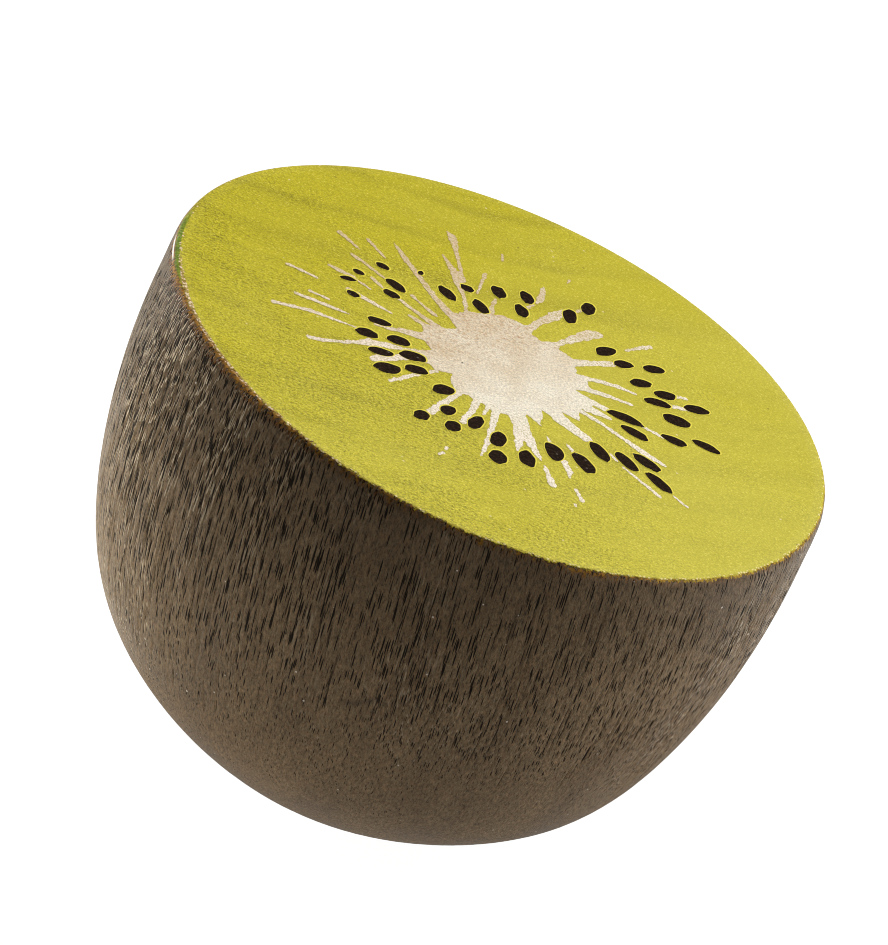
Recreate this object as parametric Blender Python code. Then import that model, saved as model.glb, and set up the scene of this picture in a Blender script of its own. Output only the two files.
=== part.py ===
"""Wooden play-food kiwi half.

One solid block of turned hardwood: a flat round cut face, a barrel-shaped wall
and a rounded blossom end, with the edge of the face slightly softened. It lies
on the shoulder of its rounded end, with its axis leaning towards +X, on a small
flat spot. Units are metres and degrees, +Z up, origin at the centre of the
flat spot.
"""

import math

import bmesh
import bpy
from mathutils import Matrix, Vector

# Sizes
FACE_RADIUS = 0.0240  # cut face, out to where its plane would meet the wall
RIM_ROUND = 0.0004  # radius that softens the edge of the face
LEAN = 22.2  # tilt of the turning axis from the vertical, towards +X
REST_RADIUS = 0.0035  # half width of the flat spot under the shoulder

# The turner's template from the rim to the pole. The angle is how far the
# surface's outward normal points below the plane of the face, and the radius
# of the outline's curve runs evenly from one named value to the next.
TEMPLATE = (
    ("rim flare", -5.0, 0.065),
    ("wall", 10.0, 0.048),
    ("upper shoulder", 24.0, 0.020),
    ("shoulder", 38.0, 0.013),
    ("base", 54.0, 0.033),
    ("lower base", 72.0, 0.025),
)
POLE_ANGLE = 90.0  # the pole's radius is whatever closes the outline on the axis

# Fineness
SEGMENTS = 96  # around the axis
FINE_STEPS = 1500  # for summing along the outline
RINGS = ((-5.0, 1.5), (10.0, 2.0), (30.0, 3.0), (50.0, 3.0), (90.0, 3.5))
RIM_STEPS = 4

# Finish
STAIN = (0.085, 0.062, 0.043, 1.0)
LIME = (0.500, 0.480, 0.035, 1.0)


def curve_radius(angle, pole_radius):
    """Radius of the outline's curve where its normal points angle below the face."""
    stations = [(a, r) for _, a, r in TEMPLATE] + [(POLE_ANGLE, pole_radius)]
    for (a0, r0), (a1, r1) in zip(stations, stations[1:]):
        if angle <= a1:
            return r0 + (r1 - r0) * (angle - a0) / (a1 - a0)
    return pole_radius


def outline(pole_radius):
    """(angle, radius from the axis, depth below the face) along the outline."""
    start = TEMPLATE[0][1]
    step = (POLE_ANGLE - start) / FINE_STEPS
    radius, depth = FACE_RADIUS, 0.0
    points = [(start, radius, depth)]
    for i in range(FINE_STEPS):
        middle = start + (i + 0.5) * step
        length = curve_radius(middle, pole_radius) * math.radians(step)
        radius -= length * math.sin(math.radians(middle))
        depth += length * math.cos(math.radians(middle))
        points.append((start + (i + 1) * step, radius, depth))
    return points


def closed_outline():
    """The outline whose last curve brings it exactly to the axis."""
    open_by = outline(0.0)[-1][1]
    with_unit = outline(1.0)[-1][1]
    return outline(open_by / (open_by - with_unit))


def at_angle(points, angle):
    """The outline's (radius, depth) at one angle of its normal."""
    start = points[0][0]
    place = (angle - start) / (POLE_ANGLE - start) * FINE_STEPS
    i = min(int(place), FINE_STEPS - 1)
    share = place - i
    (_, r0, d0), (_, r1, d1) = points[i], points[i + 1]
    return r0 + (r1 - r0) * share, d0 + (d1 - d0) * share


def ring_angles():
    """Angles of the normal where the solid has a ring, closer where the wall is long."""
    angles = [TEMPLATE[0][1]]
    for end, step in RINGS[1:]:
        begin = angles[-1]
        count = max(1, round((end - begin) / step))
        angles += [begin + (end - begin) * (i + 1) / count for i in range(count)]
    return angles


def half_profile():
    """(radius, height) from the middle of the face, over the softened edge, to the pole."""
    points = closed_outline()
    wall = [at_angle(points, a) for a in ring_angles()]
    top_normal = math.radians(TEMPLATE[0][1])
    # The softened edge: an arc tangent to the face and to the top of the wall.
    centre_r = FACE_RADIUS - RIM_ROUND * (1 - math.sin(top_normal)) / math.cos(
        top_normal
    )
    profile = [(0.0, 0.0)]
    for i in range(RIM_STEPS + 1):
        turn = math.radians(90) + (-top_normal - math.radians(90)) * i / RIM_STEPS
        profile.append(
            (
                centre_r + RIM_ROUND * math.cos(turn),
                -RIM_ROUND + RIM_ROUND * math.sin(turn),
            )
        )
    lowest = profile[-1][1]
    profile += [(r, -d) for r, d in wall if -d < lowest - 0.0004]
    profile[-1] = (0.0, profile[-1][1])
    return profile


def turned(profile):
    """A closed mesh from spinning the profile once round Z."""
    bm = bmesh.new()
    verts = [bm.verts.new((r, 0.0, z)) for r, z in profile]
    edges = [bm.edges.new(pair) for pair in zip(verts, verts[1:])]
    bmesh.ops.spin(
        bm,
        geom=verts + edges,
        cent=(0.0, 0.0, 0.0),
        axis=(0.0, 0.0, 1.0),
        angle=math.radians(360),
        steps=SEGMENTS,
        use_merge=True,
    )
    bmesh.ops.remove_doubles(bm, verts=bm.verts, dist=1e-6)
    return bm


def lean_and_stand(bm):
    """Leans the body, sets its lowest point on the floor and trims the flat spot."""
    bmesh.ops.rotate(
        bm, cent=(0, 0, 0), matrix=Matrix.Rotation(math.radians(LEAN), 3, "Y"), verts=bm.verts
    )
    points = closed_outline()
    angle = 90.0 - LEAN
    radius, depth = at_angle(points, angle)
    lean = math.radians(LEAN)
    touch_x = radius * math.cos(lean) - depth * math.sin(lean)
    touch_z = -radius * math.sin(lean) - depth * math.cos(lean)
    curve = curve_radius(angle, 0.0)
    trim = curve - math.sqrt(curve**2 - REST_RADIUS**2)
    bmesh.ops.translate(bm, vec=Vector((-touch_x, 0.0, -touch_z - trim)), verts=bm.verts)
    bmesh.ops.bisect_plane(
        bm,
        geom=bm.verts[:] + bm.edges[:] + bm.faces[:],
        dist=1e-6,
        plane_co=(0, 0, 0),
        plane_no=(0, 0, -1),
        clear_outer=True,
    )
    bmesh.ops.remove_doubles(bm, verts=bm.verts, dist=5e-5)
    open_edges = [e for e in bm.edges if e.is_boundary]
    bmesh.ops.edgeloop_fill(bm, edges=open_edges)
    bmesh.ops.recalc_face_normals(bm, faces=bm.faces)


def finish(name, colour, roughness):
    """A painted or stained wood finish."""
    material = bpy.data.materials.new(name)
    material.use_nodes = True
    shader = material.node_tree.nodes["Principled BSDF"]
    shader.inputs["Base Color"].default_value = colour
    shader.inputs["Roughness"].default_value = roughness
    shader.inputs["Metallic"].default_value = 0.0
    return material


def build():
    for old in list(bpy.data.objects):
        bpy.data.objects.remove(old, do_unlink=True)

    bm = turned(half_profile())
    lean_and_stand(bm)
    mesh = bpy.data.meshes.new("kiwi_half")
    bm.to_mesh(mesh)
    bm.free()

    mesh.materials.append(finish("stained_wood", STAIN, 0.55))
    mesh.materials.append(finish("lime_paint", LIME, 0.6))
    lean = math.radians(LEAN)
    up_axis = Vector((math.sin(lean), 0.0, math.cos(lean)))
    for face in mesh.polygons:
        face.material_index = 1 if face.normal.dot(up_axis) > 0.5 else 0
    mesh.shade_smooth()
    mesh.set_sharp_from_angle(angle=math.radians(35))

    kiwi = bpy.data.objects.new("kiwi_half", mesh)
    bpy.context.scene.collection.objects.link(kiwi)
    return kiwi


build()
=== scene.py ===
"""Wooden toy kiwi half: stained side, painted face, printed core and seeds, and the studio.

Lengths below are millimetres in the face's own frame: origin at the middle of
the cut face, +Z along the turning axis out of the face, +X down the slope of
the face and +Y away from the camera. place() brings them to the part's frame.
"""

import math

import bpy
import numpy as np
from mathutils import Matrix, Vector
from mathutils.geometry import delaunay_2d_cdt


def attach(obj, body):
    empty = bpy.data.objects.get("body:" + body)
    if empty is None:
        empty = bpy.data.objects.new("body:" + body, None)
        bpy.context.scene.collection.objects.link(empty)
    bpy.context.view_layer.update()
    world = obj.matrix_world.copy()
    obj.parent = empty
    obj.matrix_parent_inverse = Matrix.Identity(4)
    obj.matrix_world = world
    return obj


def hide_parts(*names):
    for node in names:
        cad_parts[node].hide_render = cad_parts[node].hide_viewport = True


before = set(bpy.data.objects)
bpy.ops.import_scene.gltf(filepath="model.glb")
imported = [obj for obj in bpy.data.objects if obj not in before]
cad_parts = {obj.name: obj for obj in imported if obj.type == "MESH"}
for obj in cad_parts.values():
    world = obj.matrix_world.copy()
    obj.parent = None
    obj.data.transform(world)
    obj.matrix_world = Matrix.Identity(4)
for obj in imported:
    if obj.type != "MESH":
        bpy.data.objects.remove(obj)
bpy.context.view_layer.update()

# ---------------------------------------------------------------- the turned shape

FACE_RADIUS = 24.0  # cut face, out to where its plane would meet the wall
RIM_ROUND = 0.4  # softened edge of the face
LEAN = 22.2  # tilt of the turning axis towards +X, degrees
REST_RADIUS = 3.5  # half width of the flat spot
TEMPLATE = (
    ("rim flare", -5.0, 65.0),
    ("wall", 10.0, 48.0),
    ("upper shoulder", 24.0, 20.0),
    ("shoulder", 38.0, 13.0),
    ("base", 54.0, 33.0),
    ("lower base", 72.0, 25.0),
)
POLE_ANGLE = 90.0
FINE_STEPS = 1500

SIDE_SKIN = 0.022  # how far the wood's surface lies inside the turned shape
PAINT_SKIN = 0.012  # and the paint that laps over the edge
FACE_LEVEL = -0.040  # paint on the face, below the face plane
FACE_RELIEF = 0.014
CORE_LEVEL = -0.022
HALO_LEVEL = -0.015
SEED_LEVEL = -0.004
PAINT_LAP = 1.5  # how far the paint film laps down the side
EDGE_REACH = 3.0  # how far down the side the stain of the edge can reach

GRAIN_LEAN = 7.9  # the wood's grain leans back from the turning axis, degrees
SEGMENTS = 1320
RING_STEP = 0.70
GROOVES = 7000


def curve_radius(angle, pole_radius):
    stations = [(a, r) for _, a, r in TEMPLATE] + [(POLE_ANGLE, pole_radius)]
    for (a0, r0), (a1, r1) in zip(stations, stations[1:]):
        if angle <= a1:
            return r0 + (r1 - r0) * (angle - a0) / (a1 - a0)
    return pole_radius


def outline(pole_radius):
    start = TEMPLATE[0][1]
    step = (POLE_ANGLE - start) / FINE_STEPS
    radius, depth, run = FACE_RADIUS, 0.0, 0.0
    points = [(start, radius, depth, run)]
    for i in range(FINE_STEPS):
        middle = start + (i + 0.5) * step
        length = curve_radius(middle, pole_radius) * math.radians(step)
        radius -= length * math.sin(math.radians(middle))
        depth += length * math.cos(math.radians(middle))
        run += length
        points.append((start + (i + 1) * step, radius, depth, run))
    return points


def closed_outline():
    open_by = outline(0.0)[-1][1]
    with_unit = outline(1.0)[-1][1]
    return np.array(outline(open_by / (open_by - with_unit)))


OUTLINE = closed_outline()
GRAIN_FLOW = -math.tan(math.radians(GRAIN_LEAN)) * np.concatenate(
    [[0.0], np.cumsum(np.diff(OUTLINE[:, 2]) / np.maximum(OUTLINE[1:, 1], 4.0))]
)
TOP_TILT = math.radians(TEMPLATE[0][1])
ARC_CENTRE = FACE_RADIUS - RIM_ROUND * (1 - math.sin(TOP_TILT)) / math.cos(TOP_TILT)
ARC_END = RIM_ROUND * (1 - math.sin(-TOP_TILT))  # depth where the arc meets the wall
WALL_START = float(np.interp(ARC_END, OUTLINE[:, 2], OUTLINE[:, 3]))
WALL_LENGTH = float(OUTLINE[-1, 3])


def wall_at(run, skin):
    """(radius, height, tilt in degrees) on the wall, skin inside it, at a run from the rim."""
    angle = np.interp(run, OUTLINE[:, 3], OUTLINE[:, 0])
    radius = np.interp(run, OUTLINE[:, 3], OUTLINE[:, 1])
    depth = np.interp(run, OUTLINE[:, 3], OUTLINE[:, 2])
    turn = np.radians(angle)
    return radius - skin * np.cos(turn), -depth + skin * np.sin(turn), angle


def along_grain(turn, run):
    """Azimuths reached by following the leaning grain down the wall from the rim."""
    slope = np.interp(run, OUTLINE[:, 3], GRAIN_FLOW)[:, None]
    return 2 * np.arctan2(np.sin(turn / 2) * np.exp(slope), np.cos(turn / 2))


def arc_at(share, side_skin, face_level):
    """A point of the softened edge: share 0 at the face, 1 at the wall."""
    turn = math.radians(90) + (-TOP_TILT - math.radians(90)) * share
    size = RIM_ROUND + face_level + (-side_skin - face_level) * share
    return ARC_CENTRE + size * math.cos(turn), -RIM_ROUND + size * math.sin(turn)


def rest_shift():
    lean = math.radians(LEAN)
    angle = 90.0 - LEAN
    radius = float(np.interp(angle, OUTLINE[:, 0], OUTLINE[:, 1]))
    depth = float(np.interp(angle, OUTLINE[:, 0], OUTLINE[:, 2]))
    touch_x = radius * math.cos(lean) - depth * math.sin(lean)
    touch_z = -radius * math.sin(lean) - depth * math.cos(lean)
    curve = curve_radius(angle, 0.0)
    trim = curve - math.sqrt(curve**2 - REST_RADIUS**2)
    return Vector((-touch_x, 0.0, -touch_z - trim)) / 1000


FACE_CENTRE = rest_shift()
TO_PART = (
    Matrix.Translation(FACE_CENTRE)
    @ Matrix.Rotation(math.radians(LEAN), 4, "Y")
    @ Matrix.Scale(0.001, 4)
)

# ---------------------------------------------------------------- helpers for meshes


def make_noise(seed):
    table = np.random.RandomState(seed).rand(64, 64, 64) * 2 - 1

    def noise(x, y, z=0.0):
        x, y, z = np.broadcast_arrays(
            np.asarray(x, float), np.asarray(y, float), np.asarray(z, float)
        )
        i, j, k = (np.floor(v).astype(int) for v in (x, y, z))
        fx, fy, fz = x - i, y - j, z - k
        ux, uy, uz = (f * f * (3 - 2 * f) for f in (fx, fy, fz))
        total = 0.0
        for a in (0, 1):
            for b in (0, 1):
                for c in (0, 1):
                    weight = (
                        (ux if a else 1 - ux) * (uy if b else 1 - uy) * (uz if c else 1 - uz)
                    )
                    total = total + weight * table[(i + a) % 64, (j + b) % 64, (k + c) % 64]
        return total

    return noise


noise_a, noise_b = make_noise(11), make_noise(23)


def place(points):
    """World points from face-frame millimetres."""
    m = np.array(TO_PART)
    p = np.asarray(points, float)
    w = p @ m[:3, :3].T + m[:3, 3]
    w[:, 2] = np.maximum(w[:, 2], 0.0)  # the flat spot
    return w


def mesh_object(name, points, faces, uv=None, smooth=True, finish=None):
    """A mesh piece. uv holds one (u, v) for each corner of the faces, in order."""
    mesh = bpy.data.meshes.new(name)
    mesh.from_pydata(place(points).tolist(), [], [tuple(map(int, f)) for f in faces])
    if uv is not None:
        layer = mesh.uv_layers.new(name="OFBake")
        layer.data.foreach_set("uv", np.asarray(uv, np.float32).ravel())
    mesh.polygons.foreach_set("use_smooth", [smooth] * len(mesh.polygons))
    if finish is not None:
        mesh.polygons.foreach_set("material_index", np.asarray(finish, np.int32))
    mesh.update()
    x, y, z = np.asarray(points, float).T
    for field, measure in FIELDS.items():
        attribute = mesh.attributes.new(field, "FLOAT", "POINT")
        attribute.data.foreach_set("value", measure(x, y, z).astype(np.float32))
    piece = bpy.data.objects.new(name, mesh)
    bpy.context.scene.collection.objects.link(piece)
    return piece


def ring_faces(rings, segments):
    """Quads between successive rings of points, wound to face outward."""
    i = np.arange(rings - 1)[:, None] * segments
    j = np.arange(segments)[None, :]
    k = (j + 1) % segments
    return np.stack([i + j, i + segments + j, i + segments + k, i + k], -1).reshape(-1, 4)


# ---------------------------------------------------------------- the wooden body


def groove_map(radii, runs, tilts):
    """Open pores cut along the grain: a depth share for each point of the side."""
    rng = np.random.RandomState(5)
    depth = np.zeros((len(runs), SEGMENTS))
    last = np.interp(27.0, tilts, runs)
    for _ in range(GROOVES):
        run0 = rng.uniform(2.0, last)
        column = rng.randint(SEGMENTS)
        turn = 2 * math.pi * column / SEGMENTS
        tilt = abs(float(np.interp(run0, runs, tilts)))
        radius = float(np.interp(run0, runs, radii))
        band = float(open_pores(radius * math.cos(turn), radius * math.sin(turn), -run0))
        half = rng.uniform(0.5, 2.3) ** 1.3 / (1 + (tilt / 16.0) ** 2)
        strength = rng.uniform(0.6, 1.0)
        if rng.rand() > band**1.6 or rng.rand() > radius / 24.0:
            continue
        off = (runs - run0) / max(half, 0.4)
        depth[:, column] = np.maximum(depth[:, column], strength * np.clip(1.0 - off**4, 0, 1) * (runs > 1.9))
    return depth


PITH = (-14.0, 66.0)  # heart of the tree, which the growth rings curve round
# Darker growth rings: (distance from the heart, half width, strength).
DARK_RINGS = (
    (41.0, 0.5, 0.5), (46.5, 0.6, 0.9), (49.5, 0.4, 0.4), (52.8, 0.6, 0.9), (58.7, 1.5, 1.0),
    (62.5, 0.4, 0.35), (66.0, 0.5, 0.4), (70.5, 0.7, 0.8), (73.6, 0.4, 0.35), (77.0, 0.7, 0.8),
    (81.5, 0.6, 0.6), (86.0, 0.8, 0.5),
)


def from_heart(x, y, z):
    """Distance from the tree's heart, wandering a little along the ring and the grain."""
    away = np.hypot(x - PITH[0], y - PITH[1])
    return away + 0.9 * noise_a(x * 0.10, y * 0.10, z * 0.02 + 3.0) + 0.25 * noise_b(x * 0.42, y * 0.42, 5.0)


def open_pores(x, y, z):
    """0 to 1: how open-pored the wood is at a place, in bands along the growth rings."""
    band = np.sin(2 * math.pi * from_heart(x, y, z) / 3.1)
    broad = noise_b(x * 0.12, y * 0.12, z * 0.045 + 7.0)
    # Toward the left and right the wood is made more open, which also strengthens the painted highlights beside the
    # pores there.
    sides = np.clip((8.0 - x) / 26.0, 0, 1) * 0.30 + np.clip((x - 8.0) / 14.0, 0, 1) * 0.24 - 0.08
    low = np.clip((-z - 13.0) / 14.0, 0, 1) * np.interp(x, (-12.0, 6.0), (0.08, 0.54))
    return np.clip(0.46 + 0.12 * band + 0.38 * broad + sides - low, 0.05, 1.0)


def wood_patch(x, y, z):
    return 0.5 + 0.35 * noise_b(x * 0.38, y * 0.38, z * 0.11) + 0.20 * noise_a(x * 1.1, y * 1.1, z * 0.3)


def ring_line(x, y, z):
    """How dark a growth ring shows through the paint of the face."""
    away = from_heart(x, y, z)
    dark = sum(k * np.exp(-(((away - at) / half) ** 2)) for at, half, k in DARK_RINGS)
    fine = noise_a(away * 1.1, x * 0.05 + 20.0, y * 0.05) + 0.6 * noise_b(away * 2.3, x * 0.08, y * 0.08 + 9.0)
    uneven = 0.75 + 0.5 * noise_b(x * 0.25, y * 0.25, 30.0)
    return (dark * uneven + 0.30 * np.clip(fine, -0.6, 1.0)) * np.interp(x, (-20, 20), (1.0, 0.45))


def lime_sheen_and_cloud(x, y, z):
    """0 for the deeper lime of the upper left of the face, 1 for the paler lower right: a painted sheen across the
    face, with uneven patches.
    """
    cloud = 0.18 * noise_a(x * 0.16, y * 0.16, 40.0) + 0.08 * noise_b(x * 0.5, y * 0.5, 12.0)
    return np.clip(0.43 + 0.017 * x - 0.016 * y + cloud, 0, 1)


def coarse_paint(x, y, z):
    """0 to 1: how rough the paint has dried, most along the lower left of the face."""
    patches = 0.35 * noise_b(x * 0.22, y * 0.22, 50.0) + 0.20 * noise_a(x * 0.7, y * 0.7, 33.0)
    return np.clip(0.50 - 0.022 * x - 0.014 * y + patches, 0.05, 1.0)


FIELDS = {
    "open": open_pores,
    "patch": wood_patch,
    "line": ring_line,
    "cloud": lime_sheen_and_cloud,
    "coarse": coarse_paint,
}


def wooden_body():
    arc = [arc_at(i / 4, SIDE_SKIN, -0.10) for i in range(5)]
    count = int((WALL_LENGTH - WALL_START) / RING_STEP)
    runs = WALL_START + (WALL_LENGTH - WALL_START) * (np.arange(1, count) / count)
    radii, heights, tilts = wall_at(runs, SIDE_SKIN)
    turn = 2 * math.pi * np.arange(SEGMENTS) / SEGMENTS
    cos, sin = np.cos(turn), np.sin(turn)
    groove = groove_map(radii, runs, tilts)

    # Fine ridges of the fibres and a slow unevenness of the hand-turned wall.
    r, t = np.repeat(radii[:, None], SEGMENTS, 1), along_grain(turn, runs)
    h = np.repeat(heights[:, None], SEGMENTS, 1)
    x, y = r * np.cos(t), r * np.sin(t)
    fibre = noise_a(x * 2.6, y * 2.6, h * 0.35) * 0.006 + noise_b(x * 5.2, y * 5.2, h * 0.5) * 0.004
    slow = noise_b(x * 0.16, y * 0.16, h * 0.16) * 0.03 - 0.03
    fade = np.clip((runs - WALL_START - 1.3) / 1.2, 0, 1)[:, None]
    inward = fade * (0.075 * groove + 0.010 - fibre - slow)
    slant = np.radians(tilts)[:, None]
    r2 = r - inward * np.cos(slant)
    h2 = h + inward * np.sin(slant)
    side = np.stack([r2 * np.cos(t), r2 * np.sin(t), h2], -1)

    points, groove_of, rows = [], [], []
    for radius, height in arc:
        points.append(np.stack([radius * cos, radius * sin, np.full(SEGMENTS, height)], -1))
        groove_of.append(np.zeros(SEGMENTS))
    points += list(side)
    groove_of += list(groove)
    rings = len(points)
    lengths = [0.0]
    for a, b in zip(arc, arc[1:]):
        lengths.append(lengths[-1] + math.dist(a, b))
    lengths += list(lengths[-1] + (runs - WALL_START))
    total = lengths[-1] + (WALL_LENGTH - runs[-1])
    points = np.concatenate(points)
    n = len(points)
    points = np.vstack([points, [[0, 0, -0.10]], [[0, 0, -float(OUTLINE[-1, 2]) + SIDE_SKIN]]])
    groove_all = np.concatenate(groove_of + [np.zeros(2)])
    side_faces = ring_faces(rings, SEGMENTS)[:, ::-1]
    # ring_faces winds (ring, next ring); flipped so that the side faces outward
    j = np.arange(SEGMENTS)
    k = (j + 1) % SEGMENTS
    cap = np.stack([np.full(SEGMENTS, n), j, k], -1)
    base = (rings - 1) * SEGMENTS
    pole = np.stack([base + k, base + j, np.full(SEGMENTS, n + 1)], -1)

    # The bake map: the side in three rows, each a third of the way round.
    third = SEGMENTS // 3

    def uv_side(ring, col, row):
        u = 0.006 + 0.955 * (col - row * third) / third
        v = row * 0.333 + 0.006 + 0.318 * (1 - np.asarray(lengths + [total])[ring] / total)
        return np.stack([u, v], -1)

    ring_i = np.repeat(np.arange(rings - 1), SEGMENTS)
    col_j = np.tile(np.arange(SEGMENTS), rings - 1)
    row = col_j // third
    corners = [(0, 0), (1, 0), (1, 1), (0, 1)]
    quad_uv = np.stack([uv_side(ring_i + a, col_j + b, row) for a, b in corners], 1)[:, ::-1]
    disc = np.stack([0.983 + 0.008 * np.cos(turn), 0.012 + 0.008 * np.sin(turn)], -1)
    cap_uv = np.stack([np.tile([0.983, 0.012], (SEGMENTS, 1)), disc[j], disc[k]], 1)
    row = j // third
    last = np.full(SEGMENTS, rings - 1)
    pole_uv = np.stack(
        [uv_side(last, j + 1, row), uv_side(last, j, row), uv_side(last + 1, j + 0.5, row)], 1
    )
    faces = [tuple(f) for f in side_faces] + [tuple(f) for f in cap] + [tuple(f) for f in pole]
    uv = np.concatenate([quad_uv.reshape(-1, 2), cap_uv.reshape(-1, 2), pole_uv.reshape(-1, 2)])
    near_edge = np.array([points[f[0]][2] > -EDGE_REACH for f in faces])
    piece = mesh_object("kiwi_wood_body", points, faces, uv, finish=near_edge)
    attribute = piece.data.attributes.new("groove", "FLOAT", "POINT")
    attribute.data.foreach_set("value", groove_all.astype(np.float32))
    return piece


# ---------------------------------------------------------------- the painted face


def face_paint():
    segments = 640
    rings = 132
    turn = 2 * math.pi * np.arange(segments) / segments
    cos, sin = np.cos(turn), np.sin(turn)
    radii = ARC_CENTRE * (np.arange(1, rings + 1) / rings)
    x, y = np.outer(radii, cos), np.outer(radii, sin)
    relief = 0.5 + 0.30 * noise_a(x * 2.4, y * 2.4, 1.0) + 0.25 * noise_b(x * 4.2, y * 4.2, 5.0)
    left = np.clip(0.62 - 0.020 * x + 0.006 * y, 0.25, 1.0)
    edge = np.clip((ARC_CENTRE - radii) / 0.6, 0, 1)[:, None]
    level = FACE_LEVEL - FACE_RELIEF * np.clip(1 - relief, 0, 1) * left * edge
    top = np.stack([x, y, level], -1)
    layers = list(top)
    rho = list(radii)
    arc = [arc_at(i / 6, PAINT_SKIN, FACE_LEVEL) for i in range(1, 7)]
    previous = (ARC_CENTRE, FACE_LEVEL)
    for point in arc:
        rho.append(rho[-1] + math.dist(previous, point))
        previous = point
        layers.append(np.stack([point[0] * cos, point[0] * sin, np.full(segments, point[1])], -1))
    for share in (0.25, 0.5, 0.75, 1.0):
        run = WALL_START + (PAINT_LAP - ARC_END) * share
        dip = PAINT_SKIN + 0.034 * max(0.0, share - 0.5) / 0.5
        radius, height, _ = wall_at(run, dip)
        rho.append(rho[-1] + math.dist(previous, (radius, height)))
        previous = (radius, height)
        layers.append(np.stack([radius * cos, radius * sin, np.full(segments, height)], -1))
    radius, height = previous
    shown = len(layers)
    for r, h in ((radius - 0.08, height), (ARC_CENTRE - 0.05, -0.30)):
        layers.append(np.stack([r * cos, r * sin, np.full(segments, h)], -1))
    count = len(layers)
    points = np.concatenate(layers)
    n = len(points)
    points = np.vstack([points, [[0, 0, FACE_LEVEL]], [[0, 0, -0.30]]])
    j = np.arange(segments)
    k = (j + 1) % segments
    quads = ring_faces(count, segments)
    middle = np.stack([np.full(segments, n), j, k], -1)
    base = (count - 1) * segments
    under = np.stack([np.full(segments, n + 1), base + k, base + j], -1)

    # The bake map: the face unrolled about its middle, the hidden back in a corner.
    most = rho[-1] * 1.02

    def uv_at(ring, angle):
        ring = np.asarray(ring)
        seen = ring < shown
        reach = np.where(seen, 0.5 * np.asarray(rho + [0, 0])[np.minimum(ring, shown - 1)] / most, 0)
        back = np.where(ring == shown, 0.02, 0.012)
        u = np.where(seen, 0.5 + reach * np.cos(angle), 0.025 + back * np.cos(angle))
        v = np.where(seen, 0.5 + reach * np.sin(angle), 0.025 + back * np.sin(angle))
        return np.stack([u, v], -1)

    ring_i = np.repeat(np.arange(count - 1), segments)
    col_j = np.tile(j, count - 1)
    step = 2 * math.pi / segments
    quad_uv = []
    for a, b in ((0, 0), (1, 0), (1, 1), (0, 1)):
        ring = ring_i + a
        # the join between the seen edge and the hidden back is drawn with the back
        uv = uv_at(ring, (col_j + b) * step)
        joint = (ring_i == shown - 1) & (a == 0)
        angle = (col_j + b) * step
        uv[joint] = np.stack([0.025 + 0.023 * np.cos(angle), 0.025 + 0.023 * np.sin(angle)], -1)[joint]
        quad_uv.append(uv)
    quad_uv = np.stack(quad_uv, 1)
    centre = np.tile([0.5, 0.5], (segments, 1))
    ring0 = np.zeros(segments, int)
    middle_uv = np.stack([centre, uv_at(ring0, j * step), uv_at(ring0, (j + 1) * step)], 1)
    corner = np.tile([0.025, 0.025], (segments, 1))
    last = np.full(segments, count - 1)
    under_uv = np.stack([corner, uv_at(last, (j + 1) * step), uv_at(last, j * step)], 1)
    faces = [tuple(f) for f in quads] + [tuple(f) for f in middle] + [tuple(f) for f in under]
    uv = np.concatenate([quad_uv.reshape(-1, 2), middle_uv.reshape(-1, 2), under_uv.reshape(-1, 2)])
    away = np.array([math.hypot(points[f[0]][0], points[f[0]][1]) for f in faces])
    return mesh_object("kiwi_face_paint", points, faces, uv, finish=away > ARC_CENTRE - 0.6)


# ---------------------------------------------------------------- the printed core and rays

# Edge of the pale core: (direction in degrees, radius).
CORE_EDGE = (
    (0, 5.3), (5, 6.4), (12, 6.3), (18, 6.4), (23, 5.9), (32, 6.2), (36, 6.9), (42, 6.5),
    (49, 6.3), (55, 6.8), (61, 5.8), (69, 5.9), (74, 6.6), (82, 6.7), (90, 6.8), (99, 6.4),
    (106, 6.2), (118, 6.1), (126, 5.9), (133, 6.2), (138, 5.3), (142, 4.4), (151, 4.6),
    (159, 5.3), (166, 6.2), (173, 5.9), (180, 6.2), (188, 5.8), (196, 5.6), (202, 6.3),
    (211, 6.5), (219, 6.5), (225, 5.4), (230, 6.2), (237, 6.8), (241, 7.0), (246, 6.5),
    (252, 6.8), (256, 6.6), (260, 6.9), (264, 7.0), (270, 6.7), (276, 6.9), (281, 6.8),
    (285, 6.0), (291, 6.7), (296, 6.2), (301, 5.1), (306, 6.3), (312, 7.0), (318, 5.5),
    (323, 6.9), (328, 6.4), (334, 6.0), (338, 6.1), (342, 7.0), (347, 6.6), (352, 6.4),
    (357, 5.3),
)

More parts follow.
